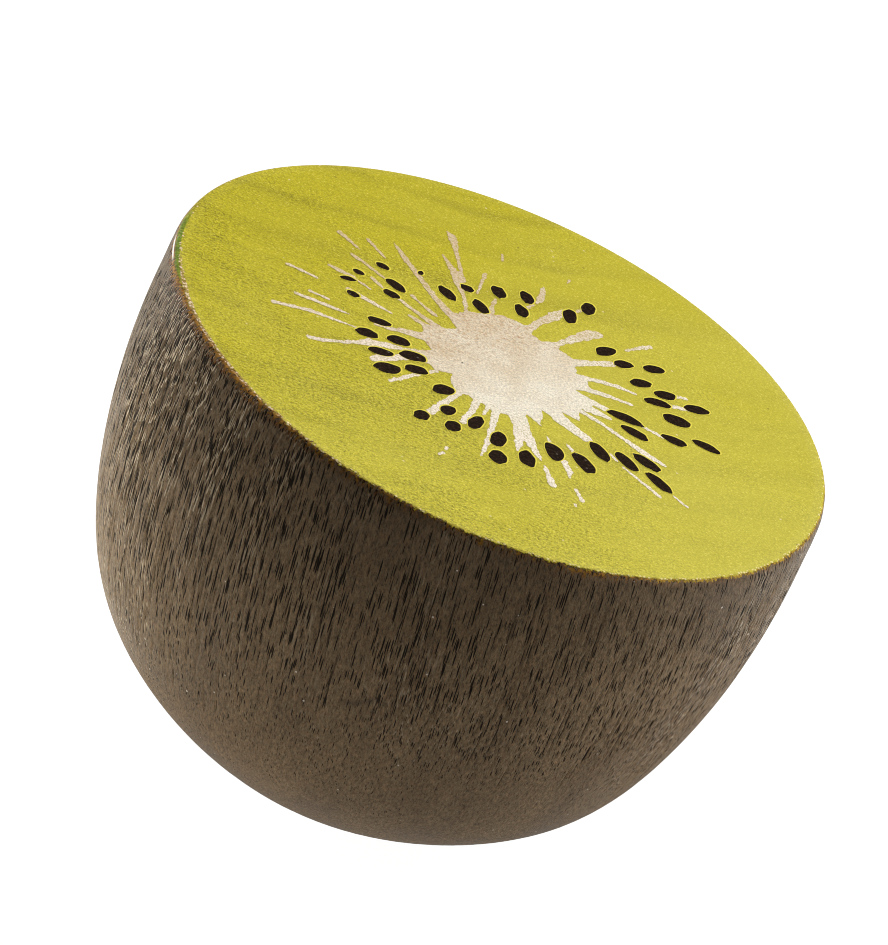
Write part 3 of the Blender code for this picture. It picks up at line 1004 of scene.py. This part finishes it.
def rim_parts(n, where, x, y, z, wood, lime):
    """The edge of the face, where the paint stops in a ragged line over the stained side."""
    radius = n.math("SQRT", n.math("ADD", n.math("MULTIPLY", x, x), n.math("MULTIPLY", y, y)))
    around = n.math("FRACT", n.math("ADD", n.math("DIVIDE", n.math("ARCTAN2", y, x), 2 * math.pi), 1.0))
    over = n.math("SUBTRACT", n.math("SUBTRACT", radius, ARC_CENTRE), z)

    def at(*pairs):
        return n.stops(around, [(d / 360, v) for d, v in pairs])

    thread = n.noise(n.scaled(where, 5.5, 5.5, 1.6, (2, 8, 5)), 1.0, 2.0, 0.8)
    crumb = n.noise(n.scaled(where, 5.0, 5.0, 4.0, (1, 7, 3)), 1.0, 1.0, 0.6)
    knot = n.noise(n.scaled(where, 1.6, 1.6, 1.0, (9, 1, 2)), 1.0, 1.0, 0.5)
    loose = at((0, 0.4), (150, 0.4), (190, 0.7), (236, 1.0), (280, 0.8), (296, 0.4), (360, 0.4))
    ragged = n.math("MULTIPLY_ADD", n.math("SUBTRACT", thread, 0.5), 1.1, n.math("MULTIPLY", n.math("SUBTRACT", knot, 0.5), 0.8))
    ragged = n.math("MULTIPLY", ragged, loose)
    # How far over the edge the lime reaches, and the band of bare stain below it, in mm.
    lap = at((0, 0.42), (150, 0.40), (168, 0.60), (187, 0.55), (192, 0.22), (200, 0.10), (228, 0.10), (240, 0.26),
             (285, 0.32), (300, 0.22), (345, 0.30), (360, 0.42))
    band = at((0, 0.26), (175, 0.30), (186, 0.40), (196, 0.46), (228, 0.46), (240, 0.28), (280, 0.24), (305, 0.22), (340, 0.22), (360, 0.24))
    past = n.math("SUBTRACT", over, n.math("ADD", lap, ragged))
    painted = n.remap(past, 0.07, -0.07)
    torn = n.math("MULTIPLY_ADD", n.math("SUBTRACT", crumb, 0.5), 0.9, n.math("MULTIPLY", n.math("SUBTRACT", thread, 0.5), 1.1))
    torn = n.math("MULTIPLY", torn, at((0, 0.4), (150, 0.5), (186, 1.0), (284, 1.0), (298, 0.35), (360, 0.4)))
    past_band = n.math("SUBTRACT", past, n.math("ADD", band, torn))

    # Orange-brown stain that has crept down the fibres below the paint.
    # The stain band darkens to dark brown round the front (236 to 290 degrees): painted shade under the paint's edge.
    stain_and_shade_at = at((0, 0.30), (165, 0.35), (184, 0.25), (222, 0.24), (236, 0.80), (276, 0.90), (290, 0.60), (302, 0.30), (345, 0.20), (360, 0.30))
    olive_at = at((0, 0.75), (150, 0.70), (180, 0.35), (196, 0.15), (290, 0.1), (302, 0.80), (360, 0.75))
    rust = n.mix(n.math("ADD", stain_and_shade_at, n.remap(crumb, 0.35, 0.65, 0.45, -0.15), None, True), srgb(210, 146, 56), srgb(62, 35, 14))
    rust = n.mix(n.remap(past, 0.10, 0.50, 0.0, 0.60), rust, srgb(88, 62, 34))
    rust = n.mix(olive_at, rust, n.mix(n.remap(crumb, 0.36, 0.62), srgb(104, 82, 24), srgb(160, 136, 38)))
    stain_at = at((0, 0.20), (160, 0.30), (184, 0.65), (226, 0.65), (245, 0.40), (290, 0.30), (330, 0.25), (360, 0.20))
    creep = n.math("MULTIPLY", n.remap(past_band, 0.48, 0.0), n.math("MULTIPLY", stain_at, n.remap(thread, 0.44, 0.60, 0.0, 0.85)), None, True)
    wood = n.mix(creep, wood, srgb(150, 92, 40))
    wood = n.mix(n.remap(past_band, 0.04, -0.04, 0.0, 0.95), wood, rust)

    # The lap itself is thinner and more ochre than the face.
    ochre = n.mix(n.remap(crumb, 0.36, 0.62), srgb(150, 132, 20), srgb(196, 180, 44))
    lime = n.mix(n.remap(over, 0.05, 0.30, 0.0, 0.75), lime, ochre)
    green_at = at((0, 0), (164, 0), (169, 0.9), (180, 1), (188, 0.9), (190, 0), (360, 0))
    green = n.math("MULTIPLY", n.math("MULTIPLY", green_at, n.remap(over, 0.02, 0.12)), n.remap(knot, 0.28, 0.36), None, True)
    lime = n.mix(green, lime, n.mix(n.remap(crumb, 0.36, 0.62), srgb(104, 124, 34), srgb(136, 158, 46)))
    colour = n.mix(painted, wood, lime)

    # Worn edge: pale wood shows through in a broken line of beads.
    line = at((0, 0.22), (150, 0.22), (170, 0.06), (190, 0.00), (198, 0.05), (230, 0.07), (240, 0.17), (300, 0.17), (330, 0.20), (360, 0.22))
    line = n.math("MULTIPLY_ADD", n.math("SUBTRACT", knot, 0.5), 0.25, line)
    wide = at((0, 0.08), (172, 0.06), (182, 0.09), (192, 0.13), (226, 0.15), (238, 0.12), (290, 0.09), (330, 0.08), (360, 0.08))
    worn_at = at((0, 0.30), (120, 0.25), (174, 0.30), (179, 0.75), (186, 0.90), (212, 0.88), (224, 0.52), (236, 0.40), (250, 0.34), (286, 0.34), (294, 0.50), (302, 0.66), (335, 0.60), (350, 0.40), (360, 0.30))
    near = n.remap(n.math("SUBTRACT", n.math("ABSOLUTE", n.math("SUBTRACT", over, line)), wide), 0.06, -0.02)
    gap, dice = n.cells(n.scaled(where, 4.6, 4.6, 4.6, (3, 1, 2)))
    red, _, _ = n.split(dice)
    bead = n.math("MULTIPLY", n.remap(gap, 0.56, 0.36), n.remap(n.math("SUBTRACT", red, worn_at), 0.04, -0.04))
    worn = n.math("MULTIPLY", near, bead, None, True)
    cream = n.mix(at((0, 0.7), (180, 0.0), (225, 0.1), (245, 0.6), (270, 0.8), (360, 0.7)), srgb(244, 222, 194), srgb(230, 220, 142))
    # Bare brownish wood lies between the beads on the left.
    bare = n.math("MULTIPLY", near, at((0, 0.0), (180, 0.0), (188, 0.75), (212, 0.70), (230, 0.25), (300, 0.1), (340, 0.0), (360, 0.0)), None, True)
    colour = n.mix(bare, colour, n.mix(n.remap(crumb, 0.40, 0.60), srgb(132, 92, 46), srgb(196, 160, 108)))
    colour = n.mix(n.math("MULTIPLY", worn, 0.95), colour, cream)

    # Beside the green patch, a thin white line runs along the edge.
    white_sliver = n.math("MULTIPLY", at((0, 0), (174, 0), (176, 1), (181, 1), (183, 0), (360, 0)), n.remap(over, 0.66, 0.72))
    white_sliver = n.math("MULTIPLY", white_sliver, n.remap(over, 0.94, 0.88), None, True)
    return n.mix(white_sliver, colour, srgb(250, 246, 240)), painted


def finish_shader(n, colour, rough, normal, specular=0.5):
    n.put(n.shader.inputs["Base Color"], colour)
    n.put(n.shader.inputs["Roughness"], rough)
    n.shader.inputs["Specular IOR Level"].default_value = specular
    if normal is not None:
        n.put(n.shader.inputs["Normal"], normal)
    return n.material


def wood_material():
    n = Nodes("stained_open_pored_wood")
    where = millimetres(n)
    wood, rough, height = wood_look(n, where, True)
    return finish_shader(n, wood, rough, n.bump(height, 0.00005, 0.9), 0.08)


def face_material():
    n = Nodes("lime_paint_on_end_grain")
    where = millimetres(n)
    lime, peel, coarse = lime_look(n, where)
    relief = n.math("MULTIPLY", peel, n.math("MULTIPLY_ADD", n.math("MULTIPLY", coarse, coarse), 1.75, 0.15))
    return finish_shader(n, lime, 0.6, n.bump(relief, 0.00016, 0.9), 0.3)


def rim_material():
    n = Nodes("edge_of_the_paint")
    where = millimetres(n)
    x, y, z = n.split(where)
    wood, wood_rough, wood_height = wood_look(n, where, False)
    lime, peel, coarse = lime_look(n, where)
    # The edge's own shader is matt, so the sheen of the face is a little white in its lime.
    lime = n.mix(0.030, lime, (1.0, 1.0, 1.0))
    colour, painted = rim_parts(n, where, x, y, z, wood, lime)
    relief = n.math("MULTIPLY", peel, n.math("MULTIPLY_ADD", n.math("MULTIPLY", coarse, coarse), 6.0, 0.6))
    height = n.math("MULTIPLY_ADD", relief, painted, n.math("MULTIPLY", wood_height, n.math("SUBTRACT", 1.0, painted)))
    rough = n.mix(painted, wood_rough, (0.6, 0.6, 0.6))
    return finish_shader(n, colour, rough, n.bump(height, 0.00004, 0.9), 0.08)


def core_material():
    n = Nodes("cream_print")
    where = millimetres(n)
    x, y, z = n.split(where)
    slope = n.math("MULTIPLY_ADD", x, 0.040, n.math("MULTIPLY", y, -0.046))
    cloud = n.noise(n.scaled(where, 0.40, 0.40, 0.40, (1, 1, 1)), 1.0, 2.0, 0.55)
    share = n.math("ADD", n.math("MULTIPLY_ADD", cloud, 1.3, -0.02), slope, None, True)
    base = n.mix(share, srgb(208, 184, 148), srgb(237, 227, 206))
    mottle = n.noise(n.scaled(where, 3.2, 3.2, 3.2, (3, 6, 2)), 1.0, 2.0, 0.7)
    upper = n.remap(slope, 0.12, -0.22)
    tan = n.math("MULTIPLY", n.remap(mottle, 0.48, 0.62), upper, None, True)
    base = n.mix(n.math("MULTIPLY", tan, 0.60), base, srgb(190, 152, 108))
    radius = n.vector("LENGTH", n.scaled(where, 1.0, 1.0, 0.0))
    outer = n.math("MULTIPLY", n.remap(radius, 6.6, 9.5, 0.0, 0.60), n.remap(y, 7.5, 1.0, 0.12, 1.0))
    base = n.mix(outer, base, srgb(244, 230, 214))
    grain = n.noise(n.scaled(where, 6.4, 6.4, 6.4, (2, 2, 9)), 1.0, 1.0, 0.8)
    base = n.brighten(base, n.remap(grain, 0.25, 0.75, 0.74, 1.26, False))
    # Rusty specks in the upper left, where the print is thinnest over the pores.
    gap, dice = n.cells(n.scaled(where, 1.9, 1.9, 1.9, (4, 4, 4)))
    red, _, _ = n.split(dice)
    speck = n.math("MULTIPLY", n.remap(gap, 0.26, 0.12), n.math("LESS_THAN", red, 0.34))
    base = n.mix(n.math("MULTIPLY", n.math("MULTIPLY", speck, upper), 0.55), base, srgb(168, 104, 66))
    pith = n.vector("DISTANCE", n.scaled(where, 1.0, 1.0, 0.0), (-3.1, -1.85, 0.0))
    base = n.mix(n.remap(pith, 0.10, 0.05), base, srgb(60, 48, 36))
    # Out along the rays the print is thin, and the lime shows through in flecks.
    thin = n.math("MULTIPLY", n.remap(radius, 5.5, 8.0, 0.0, 1.0), n.remap(grain, 0.48, 0.35, 0.0, n.remap(y, 0.0, 7.0, 0.50, 0.75)))
    base = n.mix(thin, base, srgb(190, 176, 70))
    height = n.math("MULTIPLY_ADD", grain, 0.6, mottle)
    return finish_shader(n, base, 0.62, n.bump(height, 0.00007, 0.8), 0.3)


def halo_material():
    n = Nodes("lime_round_seeds")
    where = millimetres(n)
    x, y, z = n.split(where)
    lime, peel, _ = lime_look(n, where)
    bright = n.mix(0.80, lime, srgb(236, 221, 78))
    return finish_shader(n, bright, 0.58, n.bump(peel, 0.00002, 0.6), 0.3)


def seed_material():
    n = Nodes("black_print")
    where = millimetres(n)
    grain = n.noise(n.scaled(where, 4.6, 4.6, 4.6, (5, 1, 1)), 1.0, 3.0, 0.65)
    base = n.mix(n.remap(grain, 0.42, 0.74), srgb(25, 14, 5), srgb(62, 46, 34))
    gap, dice = n.cells(n.scaled(where, 1.4, 1.4, 1.4, (2, 2, 2)))
    red, _, _ = n.split(dice)
    fleck = n.math("MULTIPLY", n.remap(gap, 0.16, 0.08), n.math("LESS_THAN", red, 0.20))
    base = n.mix(n.math("MULTIPLY", fleck, 0.5), base, srgb(128, 120, 108))
    return finish_shader(n, base, 0.55, n.bump(grain, 0.00004, 0.8), 0.04)


# ---------------------------------------------------------------- pieces

edge_finish = rim_material()
body = wooden_body()
body.data.materials.append(wood_material())
body.data.materials.append(edge_finish)
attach(body, "root")
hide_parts("kiwi_half")

paint = face_paint()
paint.data.materials.append(face_material())
paint.data.materials.append(edge_finish)
core = core_print()
core.data.materials.append(core_material())
halo = ovals("kiwi_seed_halo", 0.115, ((1.0, HALO_LEVEL), (0.5, HALO_LEVEL)), 0.04, (0.02, 0.06))
halo.data.materials.append(halo_material())
seeds = ovals(
    "kiwi_seeds",
    0.02,
    ((1.0, SEED_LEVEL - 0.008), (0.93, SEED_LEVEL - 0.003), (0.6, SEED_LEVEL)),
    0.04,
)
seeds.data.materials.append(seed_material())
for piece in (paint, core, halo, seeds):
    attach(piece, "root")

# ---------------------------------------------------------------- studio


# How brightly the table glows on the object, by direction round it: (degrees from +X, glow).
TABLE_GLOW = (
    (0, 2.50), (45, 0.72), (90, 0.10), (135, 2.6), (180, 3.3), (225, 1.38), (270, 0.46),
    (315, 0.58), (335, 1.65), (360, 2.50),
)
TABLE_WARMTH = ((0, 0), (90, 0), (130, 1), (210, 1), (260, 0), (360, 0))
UNDER_GLOW = 0.66
GLOW_SCALE = 3.5


def floor_material():
    """A white light table: even to the eye, and brighter behind and beside the object."""
    n = Nodes("white_table")
    where = n.add("ShaderNodeTexCoord").outputs["Object"]
    cloud = n.noise(where, 3.0, 2.0, 0.5)
    n.put(n.shader.inputs["Base Color"], n.mix(cloud, (0.11, 0.11, 0.11), (0.13, 0.13, 0.13)))
    n.shader.inputs["Roughness"].default_value = 0.9
    n.shader.inputs["Specular IOR Level"].default_value = 0.0
    x, y, _ = n.split(where)
    radius = n.vector("LENGTH", where)
    around = n.math("FRACT", n.math("ADD", n.math("DIVIDE", n.math("ARCTAN2", y, x), 2 * math.pi), 1.0))
    glow = n.stops(around, [(d / 360, g / GLOW_SCALE) for d, g in TABLE_GLOW])
    warmth = n.stops(around, [(d / 360, w) for d, w in TABLE_WARMTH])
    glow = n.brighten(n.mix(warmth, (1.0, 1.0, 1.0), (1.0, 0.96, 0.86)), n.math("MULTIPLY", glow, GLOW_SCALE))
    glow = n.mix(n.remap(radius, 0.028, 0.044), (UNDER_GLOW, UNDER_GLOW, UNDER_GLOW), glow)
    glow = n.mix(n.remap(radius, 0.22, 0.30), glow, (0.0, 0.0, 0.0))
    seen = n.add("ShaderNodeLightPath").outputs["Is Camera Ray"]
    n.put(n.shader.inputs["Emission Color"], n.mix(seen, glow, (0.985, 0.985, 0.985)))
    n.shader.inputs["Emission Strength"].default_value = 1.0
    return n.material


def studio_floor():
    mesh = bpy.data.meshes.new("studio_floor")
    count, z = 32, -0.00006
    radii = (0.035, 0.06, 0.10, 0.16, 0.30, 4.0)
    points = [(0.0, 0.0, z)]
    for radius in radii:
        for i in range(count):
            turn = 2 * math.pi * i / count
            points.append((radius * math.cos(turn), radius * math.sin(turn), z))
    faces = [(0, 1 + i, 1 + (i + 1) % count) for i in range(count)]
    for ring in range(len(radii) - 1):
        a, b = 1 + ring * count, 1 + (ring + 1) * count
        for i in range(count):
            k = (i + 1) % count
            faces.append((a + i, b + i, b + k, a + k))
    mesh.from_pydata(points, [], faces)
    floor = bpy.data.objects.new("studio_floor", mesh)
    bpy.context.scene.collection.objects.link(floor)
    mesh.materials.append(floor_material())


def softbox(name, azimuth, elevation, watts, size=(0.45, 0.45), away=0.75, colour=(1.0, 1.0, 1.0)):
    """A soft light aimed at the object, at an azimuth from +X and an elevation in degrees."""
    a, e = math.radians(azimuth), math.radians(elevation)
    target = Vector((0.0, 0.0, 0.02))
    spot = target + away * Vector((math.cos(e) * math.cos(a), math.cos(e) * math.sin(a), math.sin(e)))
    light = bpy.data.lights.new(name, "AREA")
    light.shape = "RECTANGLE"
    light.size, light.size_y = size
    light.energy = watts
    light.color = colour
    lamp = bpy.data.objects.new(name, light)
    lamp.location = spot
    lamp.rotation_euler = (target - spot).to_track_quat("-Z", "Y").to_euler()
    lamp.visible_camera = False
    bpy.context.scene.collection.objects.link(lamp)
    return lamp


def studio_world():
    world = bpy.data.worlds.new("studio")
    world.use_nodes = True
    tree = world.node_tree
    tree.nodes.clear()
    out = tree.nodes.new("ShaderNodeOutputWorld")
    shown = tree.nodes.new("ShaderNodeBackground")
    shown.inputs[0].default_value = (1, 1, 1, 1)
    shown.inputs[1].default_value = 1.0
    lit = tree.nodes.new("ShaderNodeBackground")
    lit.inputs[0].default_value = (1.0, 1.0, 1.0, 1)
    lit.inputs[1].default_value = 0.02
    mix = tree.nodes.new("ShaderNodeMixShader")
    path = tree.nodes.new("ShaderNodeLightPath")
    tree.links.new(path.outputs["Is Camera Ray"], mix.inputs[0])
    tree.links.new(lit.outputs[0], mix.inputs[1])
    tree.links.new(shown.outputs[0], mix.inputs[2])
    tree.links.new(mix.outputs[0], out.inputs[0])
    bpy.context.scene.world = world


studio_floor()
studio_world()
softbox("right_low", 0, 18, 4.3)
softbox("right_high", 45, 50, 2.4)
softbox("left_high", 135, 45, 2.4)
softbox("left_low", 135, 18, 1.5, colour=(1.0, 0.95, 0.84))
softbox("back_low", 120, 5, 2.5, (0.45, 0.16), 0.8)

# The camera looks along +Y, tilted down, from 0.4 m.
TILT = math.radians(30.60)
DISTANCE = 0.400
RIGHT = Vector((1, 0, 0))
UP = Vector((0, math.sin(TILT), math.cos(TILT)))
BACK = Vector((0, -math.cos(TILT), math.sin(TILT)))
camera_data = bpy.data.cameras.new("camera")
camera_data.sensor_fit = "AUTO"
camera_data.sensor_width = 36.0
camera_data.lens = 5884 * 36.0 / 945
camera_data.clip_start = 0.01
camera_data.clip_end = 50.0
camera = bpy.data.objects.new("camera", camera_data)
camera.location = FACE_CENTRE - RIGHT * 0.004119 - UP * 0.007371 + BACK * DISTANCE
camera.rotation_euler = (math.radians(90) - TILT, 0, 0)
bpy.context.scene.collection.objects.link(camera)
scene = bpy.context.scene
scene.camera = camera
scene.cycles.filter_width = 1.0
scene.cycles.max_bounces = 3
scene.cycles.diffuse_bounces = 1
scene.cycles.glossy_bounces = 1
scene.view_settings.view_transform = "Standard"
scene.view_settings.look = "None"
scene.view_settings.exposure = 0.0
scene.view_settings.gamma = 1.0
